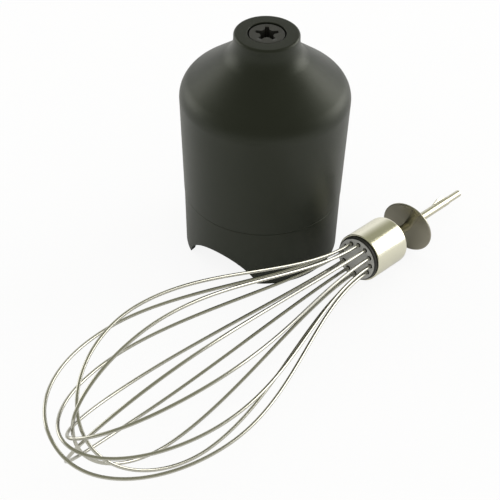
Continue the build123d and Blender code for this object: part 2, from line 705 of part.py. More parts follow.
def make_disc():
    """Slightly dished steel disc that keeps splashes off the gearbox. It sits askew on the shaft."""
    disc = turned(
        (0, -DISC_THICKNESS - DISC_DISH),
        (DISC_FLAT_RADIUS, -DISC_THICKNESS - DISC_DISH),
        (DISC_RADIUS, -DISC_THICKNESS),
        (DISC_RADIUS, 0),
        (DISC_FLAT_RADIUS, -DISC_DISH),
        (0, -DISC_DISH),
    )
    place = Pos(0, 0, disc_station) * Rot(0, 0, DISC_LEAN_ANGLE) * Rot(0, DISC_LEAN, 0)
    return place * disc - sleeve(0, SHAFT_RADIUS, PLUG_FACE_TO_FERRULE_END, key_station)


def make_shaft():
    """Steel shaft with the pressed key that drives the whisk, and a slightly thinner ground tip."""
    shaft = turned(
        (0, PLUG_LENGTH - SHAFT_IN_PLUG),
        (SHAFT_RADIUS, PLUG_LENGTH - SHAFT_IN_PLUG),
        (SHAFT_RADIUS, tip_station),
        (tip_radius, tip_station),
        (tip_radius, shaft_end - SHAFT_POINT),
        (tip_radius - SHAFT_POINT, shaft_end),
        (0, shaft_end),
    )
    side = SHAFT_RADIUS - KEY_THICKNESS / 2
    outline = Polyline(
        (0, key_station),
        (side, key_station),
        (KEY_REACH, key_station + KEY_RISE),
        (KEY_REACH, tip_station - KEY_FALL),
        (side, tip_station),
        (0, tip_station),
        close=True,
    )
    key = extrude(Plane.XZ * make_face(outline), KEY_THICKNESS / 2, both=True)
    return shaft + Rot(0, 0, KEY_ANGLE) * key


def resting_plane():
    """Plane of the plug's face when the whisk lies on its lowest wire and on the disc's rim."""
    points = [point for index in range(len(LOOPS)) for point in loop_route(index)]
    lean = radians(DISC_LEAN)

    def drop(tilt):
        wires = min(point.X * cos(tilt) - point.Z * sin(tilt) for point in points) - WIRE_RADIUS
        facing = sin(lean) * cos(radians(DISC_LEAN_ANGLE)) * cos(tilt) - cos(lean) * sin(tilt)
        rim = -DISC_RADIUS * sqrt(1 - facing**2) - DISC_THICKNESS * max(facing, 0)
        return wires, rim - disc_station * sin(tilt)

    low, high = 0.0, radians(45)
    for _ in range(40):
        tilt = (low + high) / 2
        wires, disc = drop(tilt)
        low, high = (tilt, high) if wires < disc else (low, tilt)
    origin = (PLUG_FACE_STATION, -whisk_axis_offset, -min(drop(tilt)))
    return Plane(origin=origin, x_dir=(sin(tilt), 0, cos(tilt)), z_dir=(cos(tilt), 0, -sin(tilt)))


os.makedirs("parts", exist_ok=True)

nodes = {
    "housing": make_housing(),
    "motor_collar": make_collar(),
    "ring_gear": make_ring_gear(),
    "gear_cover": make_cover(),
    "cover_screws": make_screws(),
    "input_bush": make_input_bush(),
    "neck_bush": make_neck_bush(),
    "neck_seal": make_neck_seal(),
    "thrust_washer": make_thrust_washer(),
    "sun_gear": make_sun_gear(),
    "drive_coupling": make_coupling(),
    "planet_carrier": make_carrier(),
    "output_socket": make_output_socket(),
    "grip_ring": make_grip_ring(),
}
for number, angle in enumerate(planet_angles, 1):
    nodes[f"planet_gear_{number}"] = make_planet(angle)
    nodes[f"planet_pin_{number}"] = make_pin(angle)

lying = resting_plane()
whisk = {
    "wire_plug": make_plug(),
    "ferrule": make_ferrule(),
    "splash_disc": make_disc(),
    "whisk_shaft": make_shaft(),
}
for index in range(len(LOOPS)):
    whisk[f"wire_loop_{index + 1}"] = make_wire(index)
nodes.update({name: lying.location * piece for name, piece in whisk.items()})

for name, piece in nodes.items():
    export_step(piece, f"parts/{name}.step")
print("whisk tilt", round(degrees(asin(-lying.z_dir.Z)), 2), "plug face height", round(lying.origin.Z, 2))
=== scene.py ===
import json
from math import asin, atan2, cos, pi, radians, sin, tan

import bmesh
import bpy
from bpy.props import FloatProperty, FloatVectorProperty, IntProperty, PointerProperty
from mathutils import Matrix, Vector


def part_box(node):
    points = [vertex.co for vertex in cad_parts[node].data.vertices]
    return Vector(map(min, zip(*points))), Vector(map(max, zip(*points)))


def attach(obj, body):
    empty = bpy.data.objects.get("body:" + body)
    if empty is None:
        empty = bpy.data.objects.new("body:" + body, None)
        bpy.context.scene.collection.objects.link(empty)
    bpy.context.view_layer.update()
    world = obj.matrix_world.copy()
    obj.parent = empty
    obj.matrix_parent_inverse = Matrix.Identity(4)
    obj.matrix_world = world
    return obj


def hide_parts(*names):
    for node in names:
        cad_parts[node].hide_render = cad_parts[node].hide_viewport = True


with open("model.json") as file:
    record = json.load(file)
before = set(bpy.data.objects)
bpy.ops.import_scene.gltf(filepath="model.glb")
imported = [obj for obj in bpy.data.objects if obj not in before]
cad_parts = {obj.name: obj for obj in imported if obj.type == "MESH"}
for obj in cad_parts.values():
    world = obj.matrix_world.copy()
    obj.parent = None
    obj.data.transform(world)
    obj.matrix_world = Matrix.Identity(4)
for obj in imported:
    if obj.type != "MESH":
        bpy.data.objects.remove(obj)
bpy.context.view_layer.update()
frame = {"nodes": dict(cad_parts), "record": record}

bl_info = {
    "name": "Whisk attachment",
    "version": (1, 0, 0),
    "blender": (4, 5, 0),
    "location": "View3D > Sidebar > Whisk attachment",
    "description": "Dresses the packed gearbox and balloon whisk of a stick blender",
    "category": "Add Mesh",
}

MM = 0.001
PHOTO_PIXELS = 500
SENSOR_WIDTH = 36.0
FIXED_BODY = "gearbox"
TURNING_BODY = "output"
WIRE_NODES = [name for name in sorted(frame["nodes"]) if name.startswith("wire_loop_")]

# Steps in one turn of each kind of piece
BODY_STEPS = 192
ARCH_STEPS = 256
DISC_STEPS = 160
ROUND_STEPS = 128
SHAFT_STEPS = 64
BOSS_STEPS = 32
HOLE_STEPS = 24
WIRE_STEPS = 16

# Steps along the bell's rounds, along the rounds of edges, and along a wire's route
SHOULDER_STEPS = 24
NECK_STEPS = 18
FERRULE_STEPS = 10
RIM_STEPS = 8
CORNER_STEPS = 6
LIP_STEPS = 4
ROUTE_STEPS = 260

# Rounds of plain edges, and the angles in degrees past which an edge shows sharp
EDGE = 0.3 * MM
FINE_EDGE = 0.2 * MM
SHARP_ANGLE = 40.0
GEAR_ANGLE = 28.0
KEY_ANGLE = 50.0
WIRE_ANGLE = 60.0

# Points of an outline nearer to the axis than this lie on it
ON_AXIS = 1e-7
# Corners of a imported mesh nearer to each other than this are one
WELD = 0.001 * MM
# Half the length of the tool that cuts both arches
ARCH_REACH = 50.0 * MM

# Half the side of the floor, how much of its own white the camera sees, and the lamps' colour
FLOOR_REACH = 6.0
FLOOR_GLOW = 0.89
LAMP_COLOUR = (1.0, 0.985, 0.95)

# Each loop of wire in millimetres: reach of its tip, radius of its near and far side at the
# belly, how far its tip leans along the loop's own plane, and how far its near side, far side
# and tip are bent out of that plane
LOOPS = [
    (143.5, 27.0, 26.5, 2.5, -4.5, 5.5, 2.0),
    (145.0, 22.0, 27.5, 4.5, -6.0, 1.5, -2.0),
    (147.0, 25.5, 28.5, -6.0, 1.5, 0.5, 2.0),
    (147.0, 30.0, 17.0, 1.0, -2.5, -0.5, -1.5),
    (149.0, 26.5, 23.5, 1.5, 1.5, 1.5, 0.0),
    (153.0, 29.5, 28.5, 0.0, -4.5, 10.0, -0.5),
]
# Length of the curve's handles, as shares of the stretch that they belong to
HANDLE_AT_HOLE = 0.325
HANDLE_BEFORE_BELLY = 0.342
HANDLE_AFTER_BELLY = 0.516
HANDLE_AT_TIP = 0.609


def mount(name):
    """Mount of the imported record, by its name."""
    return next(entry for entry in frame["record"]["mounts"] if entry["name"] == name)


def length(label, default, text):
    """Length property in metres, given in millimetres."""
    return FloatProperty(name=label, description=text, default=default * MM, unit="LENGTH", precision=5)


def turn(label, default, text):
    """Angle property in radians, given in degrees."""
    return FloatProperty(name=label, description=text, default=radians(default), unit="ROTATION")


def tint(label, default, text):
    """Colour property."""
    return FloatVectorProperty(
        name=label, description=text, default=default, subtype="COLOR", min=0, max=1
    )


def number(label, default, low, text):
    """Whole number with a lower limit."""
    return IntProperty(name=label, description=text, default=default, min=low)


def amount(label, default, text, unit="NONE"):
    """Plain number, or one with a unit."""
    return FloatProperty(name=label, description=text, default=default, unit=unit)


class GearboxSizes(bpy.types.PropertyGroup):
    """Sizes and colours of the housing, its collar and its socket."""

    height: length("Height", 93.5, "Height of the housing's neck above the collar's mouth")
    wall: length("Wall", 2.0, "Thickness of the housing's wall")
    parting_height: length("Parting height", 25.0, "Height of the joint between collar and housing")
    parting_radius: length("Parting radius", 30.0, "Radius of the housing at that joint")
    shoulder_radius: length("Shoulder radius", 31.5, "Largest radius of the housing")
    shoulder_height: length("Shoulder height", 66.5, "Height at which the shoulder starts to round")
    shoulder_round: length("Shoulder round", 9.0, "Radius of the shoulder's round")
    flare: turn("Flare", 38.6, "Slope of the cone between shoulder and neck")
    neck_radius: length("Neck radius", 12.0, "Outer radius of the neck")
    neck_round: length("Neck round", 10.5, "Radius of the hollow under the neck")
    neck_edge: length("Neck edge", 1.0, "Round on the neck's outer edge")
    mouth_radius: length("Mouth radius", 7.0, "Radius of the neck's mouth round the socket")
    tube_radius: length("Tube radius", 10.5, "Outer radius of the tube inside the neck")
    tube_bottom: length("Tube bottom", 57.0, "Height of the tube's lower end")
    bush_radius: length("Bush radius", 8.0, "Radius of the seat of bush and seal")
    bush_top: length("Bush top", 78.3, "Height of the step above the seal")
    foot_radius: length("Foot radius", 29.3, "Outer radius of the collar's mouth")
    foot_round: length("Foot round", 0.6, "Round on the collar's lower edge")
    inset: length("Inset", 0.12, "How far the collar stands in from the housing")
    seam_round: length("Seam round", 0.32, "Round on both edges of the joint between them")
    lead_radius: length("Lead radius", 27.0, "Inner radius of the collar's mouth")
    land_radius: length("Land radius", 26.5, "Inner radius of the collar's land")
    land_bottom: length("Land bottom", 12.0, "Height of the land's lower end")
    ledge_bottom: length("Ledge bottom", 18.5, "Height of the ledge over the land")
    ledge_top: length("Ledge top", 21.0, "Height of the ledge's upper face")
    ledge_radius: length("Ledge radius", 24.5, "Inner radius of the ledge")
    spigot_radius: length("Spigot radius", 27.9, "Outer radius of the spigot inside the housing")
    spigot_inner: length("Spigot bore", 26.3, "Inner radius of the spigot")
    spigot_top: length("Spigot top", 30.5, "Height of the spigot's end")
    arch_half_width: length("Arch half width", 16.0, "Half the width of each arch at the foot")
    arch_height: length("Arch height", 11.5, "Height of each arch")
    arch_turn: turn("Arch turn", 4.4, "Turn of arches and latch pockets from the whisk's axis")
    rib_count: number("Ribs", 6, 2, "Ribs between the neck's tube and the wall")
    rib_thickness: length("Rib thickness", 1.6, "Thickness of ribs and webs inside the housing")
    rib_angle: turn("Rib angle", 30.0, "Angle of the first rib")
    boss_count: number("Bosses", 3, 2, "Screw bosses inside the housing")
    boss_radius: length("Boss radius", 2.6, "Radius of a screw boss")
    boss_circle: length("Boss circle", 24.81, "Radius of the circle of screw bosses")
    boss_angle: turn("Boss angle", 60.0, "Angle of the first screw boss")
    boss_bottom: length("Boss bottom", 38.0, "Height of the bosses' lower ends")
    pilot_radius: length("Pilot radius", 1.3, "Radius of a boss's hole")
    pilot_depth: length("Pilot depth", 9.0, "Depth of a boss's hole")
    latch_width: length("Latch width", 10.0, "Width of a latch pocket")
    latch_height: length("Latch height", 3.5, "Height of a latch pocket")
    latch_depth: length("Latch depth", 1.2, "Depth of a latch pocket")
    socket_top: length("Socket top", 93.2, "Height of the output socket's face")
    socket_radius: length("Socket radius", 6.55, "Radius of the output socket's head")
    star_arms: number("Star arms", 5, 3, "Arms of the socket's star")
    star_reach: length("Star reach", 4.3, "Reach of each arm from the axis")
    star_core: length("Star core", 2.5, "Radius of the star between its arms")
    star_arm_width: length("Star arm", 1.9, "Width of each arm at its root")
    star_arm_taper: length("Star taper", 0.25, "How much each side of an arm draws in towards its end")
    star_depth: length("Star depth", 27.9, "Depth of the star")
    star_turn: turn("Star turn", 40.0, "Angle of the star's first arm")
    socket_shaft: length("Socket shaft", 6.0, "Radius of the socket below its head")
    socket_head: length("Socket head", 6.2, "Length of the socket's head")
    socket_hub: length("Socket hub", 4.0, "Radius of the socket's end in the carrier")
    socket_bore: length("Socket bore", 1.55, "Radius of the bore for the shaft's tip")
    bore_depth: length("Bore depth", 36.3, "Depth of that bore from the socket's face")
    flange_height: length("Flange height", 4.0, "Height of the socket's flange above its lower end")
    flange_thickness: length("Flange thickness", 3.5, "Thickness of the socket's flange")
    groove_radius: length("Groove radius", 2.95, "Radius of the grip ring's groove")
    groove_top: length("Groove top", 31.9, "Depth of the groove's upper side below the socket's face")
    groove_height: length("Groove height", 1.8, "Height of the groove")
    plastic: tint("Plastic", (0.0075, 0.009, 0.0062), "Black plastic of housing and collar")
    socket_plastic: tint("Socket plastic", (0.02, 0.02, 0.017), "Dark plastic of the output socket")


class WhiskSizes(bpy.types.PropertyGroup):
    """Sizes and colours of the whisk's head, shaft and wires."""

    ferrule_radius: length("Ferrule radius", 9.3, "Outer radius of the ferrule")
    ferrule_wall: length("Ferrule wall", 0.7, "Thickness of the ferrule's sheet")
    ferrule_round: length("Ferrule round", 1.6, "Round at the ferrule's closed end")
    ferrule_end: length("Ferrule end", 20.3, "Distance from plug face to closed end")
    plug_stand: length("Plug stand", 1.5, "How far the plug's face stands out of the ferrule")
    plug_length: length("Plug length", 14.5, "Length of the plug")
    disc_station: length("Disc station", 33.3, "Distance from plug face to the disc's rim")
    disc_radius: length("Disc radius", 10.6, "Radius of the splash disc")
    disc_thickness: length("Disc thickness", 0.8, "Thickness of the splash disc")
    disc_dish: length("Disc dish", 0.1, "Depth to which the disc is dished")
    disc_lean: turn("Disc lean", 10.5, "How far the disc leans on the shaft")
    disc_turn: turn("Disc turn", -24.0, "Direction in which the disc leans")
    disc_flat: length("Disc flat", 4.5, "Radius of the disc's flat middle")
    shaft_radius: length("Shaft radius", 1.65, "Radius of the shaft")
    shaft_beyond: length("Shaft beyond", 36.0, "Length of shaft beyond the disc")
    tip_radius: length("Tip radius", 1.4, "Radius of the ground tip past the key")
    shaft_start: length("Shaft start", 5.5, "Where the shaft starts inside the plug")
    shaft_point: length("Shaft point", 0.8, "Bevel at the shaft's tip")
    key_start: length("Key start", 16.0, "Distance from disc to the key")
    key_length: length("Key length", 10.7, "Length of the key")
    key_reach: length("Key reach", 2.7, "Reach of the key from the axis")
    key_rise: length("Key rise", 6.9, "Length of the key's slow ramp")
    key_fall: length("Key fall", 1.5, "Length of the key's steep ramp")
    key_thickness: length("Key thickness", 1.2, "Thickness of the key")
    key_turn: turn("Key turn", -51.0, "Angle of the key round the shaft")
    belly_cut: length("Belly cut", 0.74, "How far a wire's bend stays inside its widest corner")
    tip_cut: length("Tip cut", 0.45, "How far a wire's bend stays inside its tip")
    wire_radius: length("Wire radius", 0.6, "Radius of the wire")
    hole_circle: length("Hole circle", 6.3, "Radius of the circle of wire holes")
    hole_radius: length("Hole radius", 0.95, "Radius of a hole's mouth")
    hole_clearance: length("Hole clearance", 0.05, "Gap round a wire deeper in its hole")
    mouth_depth: length("Mouth depth", 2.0, "Depth of a hole's mouth")
    hole_depth: length("Hole depth", 9.0, "Depth of a wire in its hole")
    first_hole: turn("First hole", -31.8, "Angle of the first wire hole")
    belly: length("Belly", 101.1, "Distance from plug face to the belly")
    steel: tint("Steel", (0.80, 0.775, 0.63), "Stainless steel")
    shaft_steel: tint("Shaft steel", (0.60, 0.575, 0.46), "Ground stainless steel of the shaft")
    wire_steel: tint("Wire steel", (0.52, 0.51, 0.45), "Drawn stainless steel of the wires")
    # Splash disc steel, darker than the other steel: partly its own tone, partly painted shade from the
    # shadowed floor it reflects
    dark_steel: tint("Dark steel", (0.36, 0.34, 0.28), "Dark polished steel of the splash disc")
    plug_face: tint("Plug face", (0.46, 0.46, 0.44), "Grey face of the wire plug")
    plug_edge: length("Plug edge", 0.6, "Width of the plug's black rim")
    plug_rim: tint("Plug rim", (0.008, 0.008, 0.007), "Black rim and side of the wire plug")


class StageSettings(bpy.types.PropertyGroup):
    """Camera and light."""

    pitch: turn("Pitch", 40.56, "How far the camera looks down")
    roll: turn("Roll", 1.313, "How far the picture is turned clockwise")
    heading: turn("Heading", 50.1, "Angle between the photograph's right and the whisk's axis")
    distance: length("Distance", 597.6, "Distance from camera to the point it aims at")
    aim_right: length("Aim right", -4.257, "Where the camera aims, towards the photograph's right")
    aim_height: length("Aim height", -8.019, "Height at which the camera aims")
    focal_pixels: amount("Focal length", 1500.0, "Focal length in pixels")
    backdrop: tint("Backdrop", (1.0, 1.0, 1.0), "Colour of floor and background")
    room: tint("Room", (0.86, 0.86, 0.83), "Even light of the room")
    ceiling: tint("Ceiling", (0.37, 0.375, 0.29), "Darker room above and towards the camera, seen in gloss")
    backdrop_reach: turn("Backdrop reach", 18.0, "How far the backdrop comes round towards the camera")
    backdrop_top: turn("Backdrop top", 14.0, "Elevation at which the white backdrop ends in reflections")
    backdrop_fade: amount("Backdrop fade", 0.3, "Softness of the backdrop's end")
    box_distance: length("Softbox distance", 1300.0, "Distance of the two softboxes")
    box_size: length("Softbox size", 820.0, "Side of each softbox")
    box_height: turn("Softbox height", 18.0, "Elevation of the softboxes")
    box_behind: turn("Softbox behind", 24.0, "How far the softboxes stand behind the object")
    left_power: amount("Left power", 4.0, "Power of the left softbox", "POWER")
    right_power: amount("Right power", 7.2, "Power of the right softbox", "POWER")


class Term:
    """Socket of a node that can be used in arithmetic."""

    def __init__(self, tree, socket):
        self.tree = tree
        self.socket = socket

    def combine(self, operation, *terms):
        node = self.tree.nodes.new("ShaderNodeMath")
        node.operation = operation
        for slot, term in zip(node.inputs, terms):
            if isinstance(term, Term):
                self.tree.links.new(term.socket, slot)
            else:
                slot.default_value = term
        return Term(self.tree, node.outputs[0])

    def __add__(self, other):
        return self.combine("ADD", self, other)

    __radd__ = __add__

    def __sub__(self, other):
        return self.combine("SUBTRACT", self, other)

    def __rsub__(self, other):
        return self.combine("SUBTRACT", other, self)

    def __mul__(self, other):
        return self.combine("MULTIPLY", self, other)

    __rmul__ = __mul__

    def __truediv__(self, other):
        return self.combine("DIVIDE", self, other)

    def clamped(self):
        return self.combine("MINIMUM", self.combine("MAXIMUM", self, 0.0), 1.0)


class Finish:
    """Material under construction, with one method that adds any node."""

    def __init__(self, name):
        self.material = bpy.data.materials.new(name)
        self.material.use_nodes = True
        self.tree = self.material.node_tree
        self.tree.nodes.clear()
        self.out = self.tree.nodes.new("ShaderNodeOutputMaterial")
        self.place = self.add("ShaderNodeTexCoord", output="Object")

    def add(self, kind, settings=None, output=0, **values):
        return add_node(self.tree, kind, settings, output, **values)

    def noise(self, scale, detail=3.0, roughness=0.5, vector=None):
        values = {"Vector": vector or self.place, "Scale": scale, "Detail": detail, "Roughness": roughness}
        return self.add("ShaderNodeTexNoise", output="Fac", **values)

    def vector(self, operation, output, *terms):
        """Vector arithmetic on one or two terms."""
        values = {str(slot): term for slot, term in enumerate(terms)}
        return self.add("ShaderNodeVectorMath", {"operation": operation}, output, **values)

    def mix(self, factor, low, high):
        """Colour between two colours."""
        values = {"Factor": factor, "6": low, "7": high}
        return self.add("ShaderNodeMix", {"data_type": "RGBA"}, output=2, **values)

    def bump(self, height, distance, strength):
        values = {"Height": height, "Distance": distance, "Strength": strength}
        return self.add("ShaderNodeBump", output="Normal", **values)

    def close(self, shader):
        """Ends the material in a shader."""
        self.tree.links.new(shader.socket, self.out.inputs["Surface"])
        return self.material

    def surface(self, **values):
        """Ends the material in a Principled shader."""
        return self.close(self.add("ShaderNodeBsdfPrincipled", output="BSDF", **values))

    def grained(self, shade, grain, roughness, spread, distance, strength=0.5):
        """Ends the material in a surface whose roughness and relief both follow a grain."""
        relief = self.bump(grain, distance, strength)
        return self.surface(Base_Color=shade, Roughness=roughness + spread * grain, Normal=relief)


def add_node(tree, kind, settings=None, output=0, **values):
    """Adds a node with its settings, then fills its inputs, and returns one output as a Term."""
    node = tree.nodes.new(kind)
    for key, value in (settings or {}).items():
        setattr(node, key, value)
    for key, value in values.items():
        slot = node.inputs[int(key) if key.isdigit() else key.replace("_", " ")]
        if isinstance(value, Term):
            tree.links.new(value.socket, slot)
        elif slot.type == "RGBA":
            slot.default_value = (*value, 1.0)[:4]
        else:
            slot.default_value = value
    return Term(tree, node.outputs[output])


def shaded(colour, share):
    """Colour made darker or lighter by a share."""
    return tuple(share * part for part in colour)


# Finishes


def black_plastic(colour):
    """Moulded black plastic with a fine spark-eroded texture and a few rubbed places."""
    finish = Finish("black_plastic")
    grain = finish.noise(5200.0, detail=2.0, roughness=0.6)
    cloud = finish.noise(60.0, detail=4.0)
    rub = finish.noise(900.0, detail=5.0, roughness=0.7)
    return finish.surface(
        Base_Color=finish.mix(cloud, shaded(colour, 0.85), shaded(colour, 1.25)),
        Roughness=(0.34 + 0.08 * cloud + 0.06 * rub).clamped(),
        Normal=finish.bump(grain, 0.00006, 0.55),
        Specular_IOR_Level=0.42,
        Specular_Tint=(0.95, 1.0, 0.82),
    )


def socket_plastic(colour):
    """Smoother dark plastic of the turning socket, with a fine grain."""
    finish = Finish("socket_plastic")
    grain = finish.noise(3000.0)
    shade = finish.mix(grain, colour, shaded(colour, 1.4))
    return finish.grained(shade, grain, 0.34, 0.1, 0.00004, 0.4)


def moulded(name, colour, roughness, grain_scale=2500.0):
    """Plain moulding with a soft cloud in its colour and a fine grain."""
    finish = Finish(name)
    shade = finish.mix(finish.noise(120.0, detail=4.0), shaded(colour, 0.88), colour)
    return finish.grained(shade, finish.noise(grain_scale), roughness, 0.12, 0.00005)


def polished_steel(name, colour, roughness, axis):
    """Polished stainless steel with faint lines left by its buffing.

    The axis holds how fine the lines are along each direction of the shared frame.
    """
    finish = Finish(name)
    stretched = finish.add("ShaderNodeMapping", output="Vector", Vector=finish.place, Scale=axis)
    lines = finish.noise(1.0, detail=4.0, roughness=0.65, vector=stretched)
    haze = finish.noise(90.0)
    return finish.surface(
        Base_Color=finish.mix(haze, shaded(colour, 0.94), colour),
        Metallic=1.0,
        Roughness=(roughness + 0.05 * lines + 0.04 * haze).clamped(),
        Normal=finish.bump(lines, 0.000012, 0.5),
    )


def plug_plastic(face, rim, radius, place):
    """Grey moulding whose rim and side are black, beyond a radius round the whisk's axis."""
    finish = Finish("plug_plastic")
    origin, axis = place.translation, place.col[2].to_3d()
    away = finish.vector("SUBTRACT", "Vector", finish.place, tuple(origin))
    distance = finish.vector("LENGTH", "Value", finish.vector("CROSS_PRODUCT", "Vector", away, tuple(axis)))
    pale = finish.mix(finish.noise(120.0, detail=4.0), shaded(face, 0.85), face)
    blend = 0.25 * MM
    edge = ((distance - radius) / blend).clamped()
    return finish.grained(finish.mix(edge, pale, rim), finish.noise(2500.0), 0.42, 0.12, 0.00005)


def rubber(name, colour):
    """Soft black rubber."""
    finish = Finish(name)
    grain = finish.noise(1800.0, detail=4.0)
    return finish.grained(finish.mix(grain, colour, shaded(colour, 1.6)), grain, 0.62, 0.15, 0.00008)


# Meshes


def arc(centre, radius, start, end, steps):
    """Points of an arc in the radius-height plane, from one angle in radians to another."""
    angles = [start + (end - start) * step / steps for step in range(steps + 1)]
    return [(centre[0] + radius * cos(angle), centre[1] + radius * sin(angle)) for angle in angles]


def rounded(corners, steps=CORNER_STEPS):
    """Outline whose corners, given as (radius, height, round), are replaced by arcs."""
    outline = []
    count = len(corners)
    for index, (radius, height, size) in enumerate(corners):
        here = Vector((radius, height))
        if not size:
            outline.append(tuple(here))
            continue
        before = (Vector(corners[index - 1][:2]) - here).normalized()
        after = (Vector(corners[(index + 1) % count][:2]) - here).normalized()
        half = before.angle(after) / 2
        reach = size / tan(half)
        centre = here + (before + after).normalized() * (size / sin(half))
        start, end = here + before * reach, here + after * reach
        first = atan2(start.y - centre.y, start.x - centre.x)
        sweep = (atan2(end.y - centre.y, end.x - centre.x) - first + pi) % (2 * pi) - pi
        outline += arc(centre, size, first, first + sweep, steps)
    return outline


def linked(name, data):
    """Object of the given data, in the scene."""
    piece = bpy.data.objects.new(name, data)
    bpy.context.scene.collection.objects.link(piece)
    return piece


def closed(name, shell):
    """Object made from a bmesh, with its faces turned outwards."""
    bmesh.ops.recalc_face_normals(shell, faces=shell.faces)
    mesh = bpy.data.meshes.new(name)
    shell.to_mesh(mesh)
    shell.free()
    return linked(name, mesh)


def turned(name, outline, segments):
    """Piece turned about Z from a closed outline of (radius, height) points."""
    shell = bmesh.new()
    angles = [2 * pi * step / segments for step in range(segments)]
    rings = []
    for radius, height in outline:
        if radius < ON_AXIS:
            rings.append([shell.verts.new((0, 0, height))] * segments)
        else:
            rings.append([shell.verts.new((radius * cos(a), radius * sin(a), height)) for a in angles])
    for near, far in zip(rings, rings[1:] + rings[:1]):
        if near[0] is near[1] and far[0] is far[1]:
            continue
        for step in range(segments):
            after = (step + 1) % segments
            corners = [near[step], near[after], far[after], far[step]]
            shell.faces.new(list(dict.fromkeys(corners)))
    return closed(name, shell)


def rod(name, radius, low, high, segments):
    """Upright solid cylinder."""
    return turned(name, [(0, low), (radius, low), (radius, high), (0, high)], segments)


def prism(name, corners, low, high):
    """Upright prism over a closed outline of (x, y) corners."""
    block = bmesh.new()
    base, top = ([block.verts.new((x, y, z)) for x, y in corners] for z in (low, high))
    block.faces.new(base[::-1])
    block.faces.new(top)
    for index in range(len(corners)):
        after = (index + 1) % len(corners)
        block.faces.new((base[index], base[after], top[after], top[index]))
    return closed(name, block)


def moved(piece, place):
    """Puts a matrix into a piece's mesh."""
    piece.data.transform(place)
    return piece


def made_mesh(piece):
    """Mesh of a piece with its modifiers applied."""
    bpy.context.view_layer.update()
    shape = piece.evaluated_get(bpy.context.evaluated_depsgraph_get())
    return bpy.data.meshes.new_from_object(shape)


def bake(piece):
    """Applies a piece's modifiers to its mesh."""
    mesh = made_mesh(piece)
    piece.modifiers.clear()
    piece.data = mesh
    return piece


def cut(piece, tool, operation="DIFFERENCE"):
    """Cuts a tool out of a piece, or joins it on, and removes the tool."""
    step = piece.modifiers.new("cut", "BOOLEAN")
    step.operation = operation
    step.solver = "EXACT"
    step.object = tool
    bake(piece)
    bpy.data.objects.remove(tool)
    return piece


def softened(piece, width, segments=2, angle=SHARP_ANGLE):
    """Rounds a piece's sharp edges."""
    step = piece.modifiers.new("edges", "BEVEL")
    step.width = width
    step.segments = segments
    step.limit_method = "ANGLE"
    step.angle_limit = radians(angle)
    return bake(piece)


def smooth(piece, angle=SHARP_ANGLE):
    """Smooth shading led by the large faces, with edges past an angle kept sharp."""
    piece.data.shade_smooth()
    piece.data.set_sharp_from_angle(angle=radians(angle))
    step = piece.modifiers.new("even_shading", "WEIGHTED_NORMAL")
    step.keep_sharp = True
    step.weight = 100
    return bake(piece)


def finished(piece, material, slot, body, *nodes):
    """Gives a piece its material and ties it to the frame."""
    piece.data.materials.clear()
    piece.data.materials.append(material)
    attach(piece, body)
    if nodes:
        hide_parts(*nodes)
    return piece


def node_copy(node, material, slot, body):
    """Smooth-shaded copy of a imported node's mesh, which stands for the node."""
    mesh = frame["nodes"][node].data.copy()
    shell = bmesh.new()
    shell.from_mesh(mesh)
    bmesh.ops.remove_doubles(shell, verts=shell.verts, dist=WELD)
    shell.to_mesh(mesh)
    shell.free()
    piece = smooth(linked(node + "_finished", mesh), GEAR_ANGLE)
    return finished(piece, material, slot, body, node)


def bell_profile(sizes, inset):
    """Open outline of the bell from its joint with the collar to its neck, drawn in by an inset."""
    shoulder = Vector((sizes.shoulder_radius - sizes.shoulder_round, sizes.shoulder_height))
    foot = Vector((sizes.parting_radius, sizes.parting_height))
    rise = shoulder - foot
    lean = atan2(rise.y, rise.x)
    wall_angle = lean - asin(sizes.shoulder_round / rise.length)
    flare_start = pi / 2 - sizes.flare
    round_end = shoulder + sizes.shoulder_round * Vector((cos(flare_start), sin(flare_start)))
    run = round_end.x - sizes.neck_radius - sizes.neck_round * (1 - sin(sizes.flare))
    flare_top = round_end + run / cos(sizes.flare) * Vector((-cos(sizes.flare), sin(sizes.flare)))
    neck = flare_top + sizes.neck_round * Vector((cos(flare_start), sin(flare_start)))
    outline = [(foot.x - inset / sin(wall_angle), foot.y)]
    outline += arc(shoulder, sizes.shoulder_round - inset, wall_angle - pi / 2, flare_start, SHOULDER_STEPS)
    outline += arc(neck, sizes.neck_round + inset, flare_start + pi, pi, NECK_STEPS)
    return outline


def web_outline(sizes, inner_radius, low, high):
    """Outline of a web that runs from a radius out into the bell's wall, between two heights."""
    middle = bell_profile(sizes, sizes.wall / 2)
    (foot_radius, foot), (top_radius, top) = middle[:2]
    start = foot_radius + (top_radius - foot_radius) * (low - foot) / (top - foot)
    wall = [(radius, height) for radius, height in middle[1:] if radius > inner_radius and height < high]
    return [(inner_radius, low), (start, low)] + wall + [(inner_radius, max(height for _, height in wall))]


def bell_outline(sizes):
    """Closed outline of the housing's shell, from its joint with the collar up to the neck's mouth."""
    outer = bell_profile(sizes, 0.0)
    inner = bell_profile(sizes, sizes.wall)
    *wall, last = inner[:-NECK_STEPS]
    meeting = last[1] + (last[0] - sizes.tube_radius) * tan(sizes.flare)
    inner = wall + [last, (sizes.tube_radius, meeting)]
    edge = (sizes.neck_radius - sizes.neck_edge, sizes.height - sizes.neck_edge)
    lip = 0.25 * MM
    top = arc(edge, sizes.neck_edge, 0.0, pi / 2, RIM_STEPS)
    top += arc((sizes.mouth_radius + lip, sizes.height - lip), lip, pi / 2, pi, LIP_STEPS)
    bore = [
        (sizes.mouth_radius, sizes.bush_top),
        (sizes.bush_radius, sizes.bush_top),
        (sizes.bush_radius, sizes.tube_bottom),
        (sizes.tube_radius, sizes.tube_bottom),
    ]
    seam = sizes.seam_round
    foot = arc((outer[0][0] - seam, outer[0][1] + seam), seam, -pi / 2, 0.0, LIP_STEPS)
    return foot + outer[1:] + top + bore + inner[::-1]


